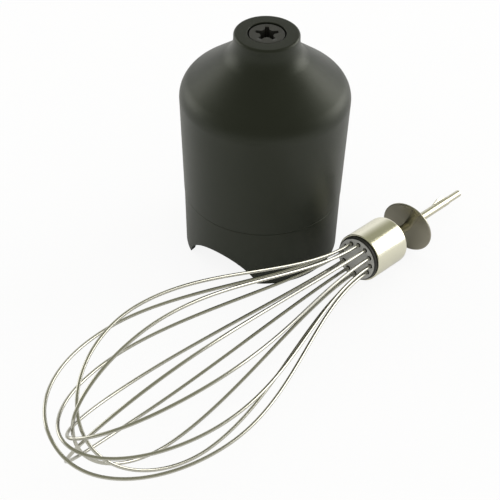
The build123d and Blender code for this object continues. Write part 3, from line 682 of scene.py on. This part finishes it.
class WHISK_OT_housing(bpy.types.Operator):
    """Makes the bell-shaped housing and its collar"""

    bl_idname = "whisk.housing"
    bl_label = "Housing"

    def execute(self, context):
        sizes = context.scene.gearbox_sizes
        material = black_plastic(sizes.plastic)
        housing = turned("housing_shell", bell_outline(sizes), BODY_STEPS)
        self.stiffen(sizes, housing)
        finished(smooth(housing), material, "black_plastic", FIXED_BODY, "housing")
        corners = [
            (sizes.lead_radius, 0.0, EDGE),
            (sizes.foot_radius, 0.0, sizes.foot_round),
            (sizes.parting_radius - sizes.inset, sizes.parting_height, sizes.seam_round),
            (sizes.spigot_radius, sizes.parting_height, 0.0),
            (sizes.spigot_radius, sizes.spigot_top, EDGE),
            (sizes.spigot_inner, sizes.spigot_top, EDGE),
            (sizes.spigot_inner, sizes.ledge_top, 0.0),
            (sizes.ledge_radius, sizes.ledge_top, EDGE),
            (sizes.ledge_radius, sizes.ledge_bottom, EDGE),
            (sizes.land_radius, sizes.ledge_bottom, 0.0),
            (sizes.land_radius, sizes.land_bottom, FINE_EDGE),
            (sizes.lead_radius, sizes.arch_height, 0.0),
        ]
        collar = turned("motor_collar_shell", rounded(corners), BODY_STEPS)
        arch_radius = (sizes.arch_half_width**2 + sizes.arch_height**2) / (2 * sizes.arch_height)
        arch = rod("arch", arch_radius, -ARCH_REACH, ARCH_REACH, ARCH_STEPS)
        aside = Matrix.Rotation(sizes.arch_turn, 4, "Z")
        drop = Matrix.Translation((0, 0, sizes.arch_height - arch_radius))
        cut(collar, moved(arch, aside @ drop @ Matrix.Rotation(pi / 2, 4, "Y")))
        reach = sizes.land_radius + sizes.latch_depth
        half = sizes.latch_width / 2
        middle = (sizes.land_bottom + sizes.ledge_bottom) / 2
        rise = sizes.latch_height / 2
        base = [(-reach, -half), (reach, -half), (reach, half), (-reach, half)]
        cut(collar, moved(prism("pocket", base, middle - rise, middle + rise), aside))
        softened(collar, 0.25 * MM)
        finished(smooth(collar), material, "black_plastic", FIXED_BODY, "motor_collar")
        return {"FINISHED"}

    @staticmethod
    def stiffen(sizes, housing):
        """Joins the ribs, the screw bosses and their webs to the inside of the housing."""
        upright = Matrix.Rotation(pi / 2, 4, "X")
        half = sizes.rib_thickness / 2
        overlap = 0.3 * MM
        tree = spaced_round()
        outline = web_outline(sizes, sizes.tube_radius - overlap, sizes.tube_bottom, sizes.height)
        rib = moved(prism("rib", outline, -half, half), upright)
        ribs = run_tree(rib, tree, count=sizes.rib_count, first_angle=sizes.rib_angle)
        cut(housing, ribs, "UNION")
        outline = web_outline(sizes, sizes.boss_circle, sizes.boss_bottom, sizes.height)
        roof = max(height for _, height in outline) - overlap
        web = prism("web", [(radius, min(height, roof)) for radius, height in outline], -half, half)
        aside = Matrix.Translation((sizes.boss_circle, 0, 0))
        spacing = {"count": sizes.boss_count, "first_angle": sizes.boss_angle}
        boss = moved(rod("boss", sizes.boss_radius, sizes.boss_bottom, roof, BOSS_STEPS), aside)
        cut(boss, moved(web, upright), "UNION")
        cut(housing, run_tree(boss, tree, **spacing), "UNION")
        low, end = sizes.boss_bottom - MM, sizes.boss_bottom + sizes.pilot_depth
        pilot = moved(rod("pilot", sizes.pilot_radius, low, end, HOLE_STEPS), aside)
        cut(housing, run_tree(pilot, tree, **spacing))


class WHISK_OT_socket(bpy.types.Operator):
    """Makes the turning output socket with its star"""

    bl_idname = "whisk.socket"
    bl_label = "Output socket"

    def execute(self, context):
        sizes = context.scene.gearbox_sizes
        low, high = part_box("output_socket")
        top = sizes.socket_top
        head_bottom = top - sizes.socket_head
        flange_bottom = low.z + sizes.flange_height
        flange_top = flange_bottom + sizes.flange_thickness
        bore = sizes.socket_bore
        floor = top - sizes.bore_depth
        groove = top - sizes.groove_top
        corners = [
            (0.0, low.z, 0.0),
            (sizes.socket_hub, low.z, FINE_EDGE),
            (sizes.socket_hub, flange_bottom, 0.0),
            (high.x, flange_bottom, EDGE),
            (high.x, flange_top, EDGE),
            (sizes.socket_shaft, flange_top, 0.0),
            (sizes.socket_shaft, head_bottom, 0.0),
            (sizes.socket_radius, head_bottom, FINE_EDGE),
            (sizes.socket_radius, top, 0.45 * MM),
            (bore, top, 0.0),
            (bore, groove, 0.0),
            (sizes.groove_radius, groove, 0.0),
            (sizes.groove_radius, groove - sizes.groove_height, 0.0),
            (bore, groove - sizes.groove_height, 0.0),
            (bore, floor, 0.0),
            (0.0, floor, 0.0),
        ]
        body = turned("output_socket_turned", rounded(corners), ROUND_STEPS)
        cut(body, prism("star", self.star_corners(sizes), top - sizes.star_depth, top + MM))
        softened(body, 0.15 * MM)
        plastic = socket_plastic(sizes.socket_plastic)
        finished(smooth(body), plastic, "socket_plastic", TURNING_BODY, "output_socket")
        return {"FINISHED"}

    @staticmethod
    def star_corners(sizes):
        root = sizes.star_arm_width / 2
        end = root - sizes.star_arm_taper
        corners = []
        for arm in range(sizes.star_arms):
            angle = sizes.star_turn + 2 * pi * arm / sizes.star_arms
            along = Vector((cos(angle), sin(angle)))
            across = Vector((-along.y, along.x))
            valley = angle - pi / sizes.star_arms
            corners += [
                sizes.star_core * Vector((cos(valley), sin(valley))),
                along * sizes.star_core - across * root,
                along * sizes.star_reach - across * end,
                along * sizes.star_reach + across * end,
                along * sizes.star_core + across * root,
            ]
        return [tuple(corner) for corner in corners]


def whisk_place(sizes):
    """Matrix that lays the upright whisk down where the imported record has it."""
    pin = mount("whisk_shaft")
    along = Vector(pin["axis"])
    side = Vector((0, -1, 0))
    key_end = sizes.disc_station + sizes.key_start + sizes.key_length
    pin_middle = key_end + pin["dims"]["length_mm"] * MM / 2
    place = Matrix((side.cross(along), side, along)).transposed().to_4x4()
    place.translation = Vector(pin["pos_m"]) - along * pin_middle
    return place


def open_tree(name, inputs):
    """Node tree with the given inputs between its geometry and its material, and all as Terms."""
    tree = bpy.data.node_groups.new(name, "GeometryNodeTree")
    kinds = {"Geometry": "Geometry", **inputs, "Material": "Material"}
    for label, kind in kinds.items():
        tree.interface.new_socket(label, in_out="INPUT", socket_type="NodeSocket" + kind)
    tree.interface.new_socket("Geometry", in_out="OUTPUT", socket_type="NodeSocketGeometry")
    given = tree.nodes.new("NodeGroupInput")
    return tree, {label: Term(tree, given.outputs[label]) for label in kinds}


def close_tree(tree, given, geometry):
    """Ends a node tree in plain geometry with the given material."""
    whole = add_node(tree, "GeometryNodeRealizeInstances", Geometry=geometry)
    dressed = add_node(tree, "GeometryNodeSetMaterial", Geometry=whole, Material=given["Material"])
    result = tree.nodes.new("NodeGroupOutput")
    tree.links.new(dressed.socket, result.inputs["Geometry"])
    return tree


def ring_of_holes():
    """Node tree that bores a circle of stepped holes into the piece it is given."""
    lengths = ("Circle radius", "Mouth radius", "Mouth depth", "Hole radius", "Hole depth")
    tree, given = open_tree("wire_holes", {"Count": "Int", **dict.fromkeys(lengths, "Float")})
    circle = add_node(
        tree, "GeometryNodeMeshCircle", Vertices=given["Count"], Radius=given["Circle radius"]
    )
    piece = given["Geometry"]
    for part in ("Mouth", "Hole"):
        radius, depth = given[part + " radius"], 2.0 * given[part + " depth"]
        drill = add_node(tree, "GeometryNodeMeshCylinder", Vertices=HOLE_STEPS, Radius=radius, Depth=depth)
        drills = add_node(tree, "GeometryNodeInstanceOnPoints", Points=circle, Instance=drill)
        exact = {"operation": "DIFFERENCE", "solver": "EXACT"}
        piece = add_node(tree, "GeometryNodeMeshBoolean", exact, **{"0": piece, "1": drills})
    return close_tree(tree, given, piece)


def spaced_round():
    """Node tree that repeats the piece it is given at even angles round Z."""
    tree, given = open_tree("spaced_round", {"Count": "Int", "First angle": "Float"})
    index = add_node(tree, "GeometryNodeInputIndex", output="Index")
    angle = given["First angle"] + index * 2 * pi / given["Count"]
    copies = add_node(
        tree,
        "GeometryNodeInstanceOnPoints",
        Points=add_node(tree, "GeometryNodePoints", Count=given["Count"]),
        Instance=given["Geometry"],
        Rotation=add_node(tree, "ShaderNodeCombineXYZ", Z=angle),
    )
    return close_tree(tree, given, copies)


def run_tree(piece, tree, **values):
    """Runs a node tree on a piece with its inputs set, and keeps the result as its mesh."""
    step = piece.modifiers.new(tree.name, "NODES")
    step.node_group = tree
    for socket in tree.interface.items_tree:
        key = socket.name.replace(" ", "_").lower()
        if socket.in_out == "INPUT" and key in values:
            step[socket.identifier] = values[key]
    result = linked(piece.name + "_made", made_mesh(piece))
    bpy.data.objects.remove(piece)
    return result


class WHISK_OT_head(bpy.types.Operator):
    """Makes the whisk's plug, ferrule, splash disc and shaft"""

    bl_idname = "whisk.head"
    bl_label = "Whisk head"

    def execute(self, context):
        sizes = context.scene.whisk_sizes
        place = whisk_place(sizes)
        self.make_plug(sizes, place)
        self.make_ferrule(sizes, place)
        self.make_disc(sizes, place)
        self.make_shaft(sizes, place)
        return {"FINISHED"}

    @staticmethod
    def make_plug(sizes, place):
        radius = sizes.ferrule_radius - sizes.ferrule_wall
        corners = [
            (0.0, 0.0, 0.0),
            (radius, 0.0, 0.5 * MM),
            (radius, sizes.plug_length, 0.0),
            (0.0, sizes.plug_length, 0.0),
        ]
        face = plug_plastic(sizes.plug_face, sizes.plug_rim, radius - sizes.plug_edge, place)
        made = run_tree(
            turned("plug_blank", rounded(corners), ROUND_STEPS),
            ring_of_holes(),
            count=2 * len(LOOPS),
            circle_radius=sizes.hole_circle,
            mouth_radius=sizes.hole_radius,
            mouth_depth=sizes.mouth_depth,
            hole_radius=sizes.wire_radius + sizes.hole_clearance,
            hole_depth=sizes.hole_depth,
            material=face,
        )
        moved(made, place @ Matrix.Rotation(sizes.first_hole, 4, "Z"))
        made.name = "wire_plug_moulded"
        finished(smooth(made), face, "plug_plastic", FIXED_BODY, "wire_plug")

    @staticmethod
    def make_ferrule(sizes, place):
        outer, inner = sizes.ferrule_radius, sizes.ferrule_radius - sizes.ferrule_wall
        end, back = sizes.ferrule_end, sizes.ferrule_end - sizes.ferrule_wall
        corners = [
            (inner, sizes.plug_stand, FINE_EDGE),
            (outer, sizes.plug_stand, EDGE),
            (outer, end, sizes.ferrule_round),
            (sizes.shaft_radius, end, 0.15 * MM),
            (sizes.shaft_radius, back, 0.0),
            (inner, back, sizes.ferrule_round - sizes.ferrule_wall),
        ]
        cup = moved(turned("ferrule_drawn", rounded(corners, FERRULE_STEPS), BODY_STEPS), place)
        steel = polished_steel("ferrule_steel", sizes.steel, 0.10, (900.0, 60.0, 60.0))
        finished(smooth(cup), steel, "polished_steel", FIXED_BODY, "ferrule")

    @staticmethod
    def make_disc(sizes, place):
        back = -sizes.disc_thickness
        bend, rim = 2.0 * MM, 0.25 * MM
        corners = [
            (0.0, back - sizes.disc_dish, 0.0),
            (sizes.disc_flat, back - sizes.disc_dish, bend),
            (sizes.disc_radius, back, rim),
            (sizes.disc_radius, 0.0, rim),
            (sizes.disc_flat, -sizes.disc_dish, bend),
            (0.0, -sizes.disc_dish, 0.0),
        ]
        disc = turned("splash_disc_pressed", rounded(corners), DISC_STEPS)
        lean = Matrix.Rotation(sizes.disc_turn, 4, "Z") @ Matrix.Rotation(sizes.disc_lean, 4, "Y")
        moved(disc, Matrix.Translation((0, 0, sizes.disc_station)) @ lean)
        reach = sizes.disc_station - sizes.disc_radius / 2
        cut(disc, rod("hole", sizes.shaft_radius, reach, 2 * reach, SHAFT_STEPS))
        moved(disc, place)
        # The disc's darker steel colour partly paints the shade of the floor that it reflects
        steel = polished_steel("disc_steel", sizes.dark_steel, 0.2, (60.0, 300.0, 300.0))
        finished(smooth(disc), steel, "polished_steel", FIXED_BODY, "splash_disc")

    @staticmethod
    def make_shaft(sizes, place):
        tip = sizes.disc_station + sizes.shaft_beyond
        low = sizes.disc_station + sizes.key_start
        high = low + sizes.key_length
        corners = [
            (0.0, sizes.shaft_start, 0.0),
            (sizes.shaft_radius, sizes.shaft_start, 0.0),
            (sizes.shaft_radius, high, 0.0),
            (sizes.tip_radius, high, 0.0),
            (sizes.tip_radius, tip - sizes.shaft_point, EDGE),
            (sizes.tip_radius - sizes.shaft_point, tip, FINE_EDGE),
            (0.0, tip, 0.0),
        ]
        shaft = turned("whisk_shaft_ground", rounded(corners), SHAFT_STEPS)
        side = sizes.shaft_radius - sizes.key_thickness / 2
        outline = [
            (0.0, low),
            (side, low),
            (sizes.key_reach, low + sizes.key_rise),
            (sizes.key_reach, high - sizes.key_fall),
            (side, high),
            (0.0, high),
        ]
        key = prism("key", outline, -sizes.key_thickness / 2, sizes.key_thickness / 2)
        moved(key, Matrix.Rotation(sizes.key_turn, 4, "Z") @ Matrix.Rotation(pi / 2, 4, "X"))
        cut(shaft, key, "UNION")
        softened(shaft, 0.18 * MM, segments=3, angle=35.0)
        smooth(moved(shaft, place), KEY_ANGLE)
        steel = polished_steel("shaft_steel", sizes.shaft_steel, 0.18, (700.0, 90.0, 90.0))
        finished(shaft, steel, "shaft_steel", FIXED_BODY, "whisk_shaft")


def bent_wire():
    """Node tree that draws a round wire along the curve it is given."""
    tree, given = open_tree("bent_wire", {"Radius": "Float", "Steps": "Int"})
    even = add_node(tree, "GeometryNodeResampleCurve", Curve=given["Geometry"], Count=given["Steps"])
    section = add_node(
        tree, "GeometryNodeCurvePrimitiveCircle", Resolution=WIRE_STEPS, Radius=given["Radius"]
    )
    values = {"Curve": even, "Profile Curve": section, "Fill Caps": True}
    return close_tree(tree, given, add_node(tree, "GeometryNodeCurveToMesh", **values))


class WHISK_OT_wires(bpy.types.Operator):
    """Bends the loops of wire"""

    bl_idname = "whisk.wires"
    bl_label = "Wires"

    def execute(self, context):
        sizes = context.scene.whisk_sizes
        if len(WIRE_NODES) != len(LOOPS):
            raise RuntimeError("the packed model has another number of wires")
        steel = polished_steel("wire_steel", sizes.wire_steel, 0.12, (40.0, 40.0, 40.0))
        tree = bent_wire()
        place = whisk_place(sizes)
        for index, node in enumerate(WIRE_NODES):
            values = {"radius": sizes.wire_radius, "steps": ROUTE_STEPS, "material": steel}
            wire = run_tree(self.route(sizes, index), tree, **values)
            wire.name = node + "_bent"
            moved(wire, place)
            wire.data.shade_smooth()
            wire.data.set_sharp_from_angle(angle=radians(WIRE_ANGLE))
            finished(wire, steel, "wire_steel", FIXED_BODY, node)
        return {"FINISHED"}

    @staticmethod
    def route(sizes, index):
        """Curve of one loop from the bottom of one hole to the bottom of the opposite one."""
        reach, near, far, lean, near_bow, far_bow, tip_bow = (value * MM for value in LOOPS[index])
        reach -= sizes.tip_cut
        near, far = near - sizes.belly_cut, far - sizes.belly_cut
        tip = Vector((lean, tip_bow, -reach))
        up = Vector((0, 0, 1))
        points = []
        for sign, belly, bow in ((1, near, near_bow), (-1, -far, far_bow)):
            hole = Vector((sign * sizes.hole_circle, 0, 0))
            widest = Vector((belly, bow, -sizes.belly))
            end = hole + up * sizes.hole_depth
            side = [
                (end, end + up * MM, end - up * MM),
                (hole, hole + up * MM, hole - up * HANDLE_AT_HOLE * sizes.belly),
                (
                    widest,
                    widest + up * HANDLE_BEFORE_BELLY * sizes.belly,
                    widest - up * HANDLE_AFTER_BELLY * (reach - sizes.belly),
                ),
            ]
            points.append(side)
        sides = Vector((1, 0, 0)) * HANDLE_AT_TIP
        top = (tip, tip + sides * (near - lean), tip - sides * (far + lean))
        knots = points[0] + [top] + [(knot, after, before) for knot, before, after in points[1][::-1]]
        curve = bpy.data.curves.new("route", "CURVE")
        curve.dimensions = "3D"
        curve.resolution_u = 32
        spline = curve.splines.new("BEZIER")
        spline.bezier_points.add(len(knots) - 1)
        angle = Matrix.Rotation(sizes.first_hole + pi * index / len(LOOPS), 3, "Z")
        for point, (knot, before, after) in zip(spline.bezier_points, knots):
            point.handle_left_type = point.handle_right_type = "FREE"
            point.co = angle @ knot
            point.handle_left = angle @ before
            point.handle_right = angle @ after
        return linked("route", curve)


class WHISK_OT_gearing(bpy.types.Operator):
    """Finishes the gears, bushes, seals and screws inside the gearbox"""

    bl_idname = "whisk.gearing"
    bl_label = "Gearing"

    def execute(self, context):
        finishes = {
            "gear_plastic": moulded("gear_acetal", (0.80, 0.78, 0.71), 0.38),
            "carrier_plastic": moulded("filled_nylon", (0.045, 0.045, 0.045), 0.5, 900.0),
            "plain_steel": polished_steel("zinc_plate", (0.62, 0.62, 0.61), 0.28, (400.0, 400.0, 400.0)),
            "bronze": polished_steel("sintered_bronze", (0.60, 0.42, 0.22), 0.42, (2500.0, 2500.0, 2500.0)),
            "seal_rubber": rubber("seal_rubber", (0.02, 0.02, 0.02)),
        }
        slots = {entry["node"]: entry["material_slot"] for entry in frame["record"]["subparts"]}
        for body, members in frame["record"]["behaviour"]["bodies"].items():
            for node in members:
                if slots[node] in finishes:
                    node_copy(node, finishes[slots[node]], slots[node], body)
        return {"FINISHED"}


class WHISK_OT_stage(bpy.types.Operator):
    """Sets up camera, light, floor and background"""

    bl_idname = "whisk.stage"
    bl_label = "Stage"

    def execute(self, context):
        settings = context.scene.stage_settings
        self.place_camera(context, settings)
        self.place_floor(settings)
        self.light(context, settings)
        context.scene.view_settings.view_transform = "Standard"
        return {"FINISHED"}

    @staticmethod
    def place_camera(context, settings):
        heading = Matrix.Rotation(-settings.heading, 3, "Z")
        forward = heading @ Vector((0, cos(settings.pitch), -sin(settings.pitch)))
        level_up = heading @ Vector((0, sin(settings.pitch), cos(settings.pitch)))
        level_right = heading @ Vector((1, 0, 0))
        right = cos(settings.roll) * level_right + sin(settings.roll) * level_up
        up = cos(settings.roll) * level_up - sin(settings.roll) * level_right
        aim = heading @ Vector((settings.aim_right, 0, settings.aim_height))
        data = bpy.data.cameras.new("camera")
        data.sensor_width = SENSOR_WIDTH
        data.lens = settings.focal_pixels * SENSOR_WIDTH / PHOTO_PIXELS
        data.clip_start = 0.01
        data.clip_end = 100.0
        camera = linked("camera", data)
        place = Matrix((right, up, -forward)).transposed().to_4x4()
        place.translation = aim - forward * settings.distance
        camera.matrix_world = place
        context.scene.camera = camera

    @staticmethod
    def place_floor(settings):
        mesh = bpy.data.meshes.new("floor")
        corners = [(-1, -1), (1, -1), (1, 1), (-1, 1)]
        mesh.from_pydata([(x * FLOOR_REACH, y * FLOOR_REACH, 0) for x, y in corners], [], [(0, 1, 2, 3)])
        floor = linked("floor", mesh)
        finish = Finish("floor_sweep")
        paper = finish.noise(30.0, detail=2.0)
        shade = finish.mix(paper, shaded(settings.backdrop, 0.86), shaded(settings.backdrop, 0.88))
        lit = finish.add("ShaderNodeBsdfDiffuse", output="BSDF", Color=shade)
        white = finish.add("ShaderNodeEmission", output="Emission", Color=settings.backdrop, Strength=1.0)
        seen = finish.add("ShaderNodeLightPath", output="Is Camera Ray") * FLOOR_GLOW
        mixed = finish.add("ShaderNodeMixShader", output="Shader", **{"0": seen, "1": lit, "2": white})
        mesh.materials.append(finish.close(mixed))

    @staticmethod
    def light(context, settings):
        """Dim room with a softbox on each side of the object, and a white backdrop."""
        world = bpy.data.worlds.new("studio")
        context.scene.world = world
        world.use_nodes = True
        tree = world.node_tree
        tree.nodes.clear()
        direction = add_node(tree, "ShaderNodeTexCoord", output="Generated")
        height = add_node(tree, "ShaderNodeSeparateXYZ", output="Z", Vector=direction)
        heading = Matrix.Rotation(-settings.heading, 3, "Z")
        dot = {"operation": "DOT_PRODUCT"}
        away = {"0": direction, "1": heading @ Vector((0, 1, 0))}
        ahead = add_node(tree, "ShaderNodeVectorMath", dot, "Value", **away)
        low = 1.0 - ((height - sin(settings.backdrop_top)) / settings.backdrop_fade).clamped()
        behind = ((ahead + sin(settings.backdrop_reach)) / settings.backdrop_fade).clamped()
        glossy = add_node(tree, "ShaderNodeLightPath", output="Is Glossy Ray")
        direct = add_node(tree, "ShaderNodeLightPath", output="Is Camera Ray")
        shades = {"Factor": glossy, "6": settings.room, "7": settings.ceiling}
        dim = add_node(tree, "ShaderNodeMix", {"data_type": "RGBA"}, 2, **shades)
        room = add_node(tree, "ShaderNodeBackground", Color=dim, Strength=1.0)
        back = add_node(tree, "ShaderNodeBackground", Color=settings.backdrop, Strength=1.0)
        parts = {"0": (glossy * low * behind + direct).clamped(), "1": room, "2": back}
        mixed = add_node(tree, "ShaderNodeMixShader", **parts)
        tree.links.new(mixed.socket, tree.nodes.new("ShaderNodeOutputWorld").inputs["Surface"])
        level = cos(settings.box_height)
        for name, side, power in (("left", -1, settings.left_power), ("right", 1, settings.right_power)):
            data = bpy.data.lights.new("softbox_" + name, "AREA")
            data.shape = "SQUARE"
            data.size = settings.box_size
            data.energy = power
            data.color = LAMP_COLOUR
            across = side * level * cos(settings.box_behind)
            towards = heading @ Vector((across, level * sin(settings.box_behind), sin(settings.box_height)))
            place = towards.to_track_quat("Z", "Y").to_matrix().to_4x4()
            place.translation = towards * settings.box_distance
            linked("softbox_" + name, data).matrix_world = place


PIECES = ("housing", "socket", "head", "wires", "gearing", "stage")


class WHISK_PT_pieces(bpy.types.Panel):
    """Lists the pieces of the attachment"""

    bl_label = "Whisk attachment"
    bl_idname = "WHISK_PT_pieces"
    bl_space_type = "VIEW_3D"
    bl_region_type = "UI"
    bl_category = "Whisk attachment"

    def draw(self, context):
        for name in PIECES:
            self.layout.operator("whisk." + name)


CLASSES = (
    GearboxSizes,
    WhiskSizes,
    StageSettings,
    WHISK_OT_housing,
    WHISK_OT_socket,
    WHISK_OT_head,
    WHISK_OT_wires,
    WHISK_OT_gearing,
    WHISK_OT_stage,
    WHISK_PT_pieces,
)
SETTINGS = {"gearbox_sizes": GearboxSizes, "whisk_sizes": WhiskSizes, "stage_settings": StageSettings}


def register():
    for kind in CLASSES:
        bpy.utils.register_class(kind)
    for name, kind in SETTINGS.items():
        setattr(bpy.types.Scene, name, PointerProperty(type=kind))


def unregister():
    for name in SETTINGS:
        delattr(bpy.types.Scene, name)
    for kind in reversed(CLASSES):
        bpy.utils.unregister_class(kind)


def main():
    register()
    for name in PIECES:
        getattr(bpy.ops.whisk, name)()


if __name__ == "__main__":
    main()
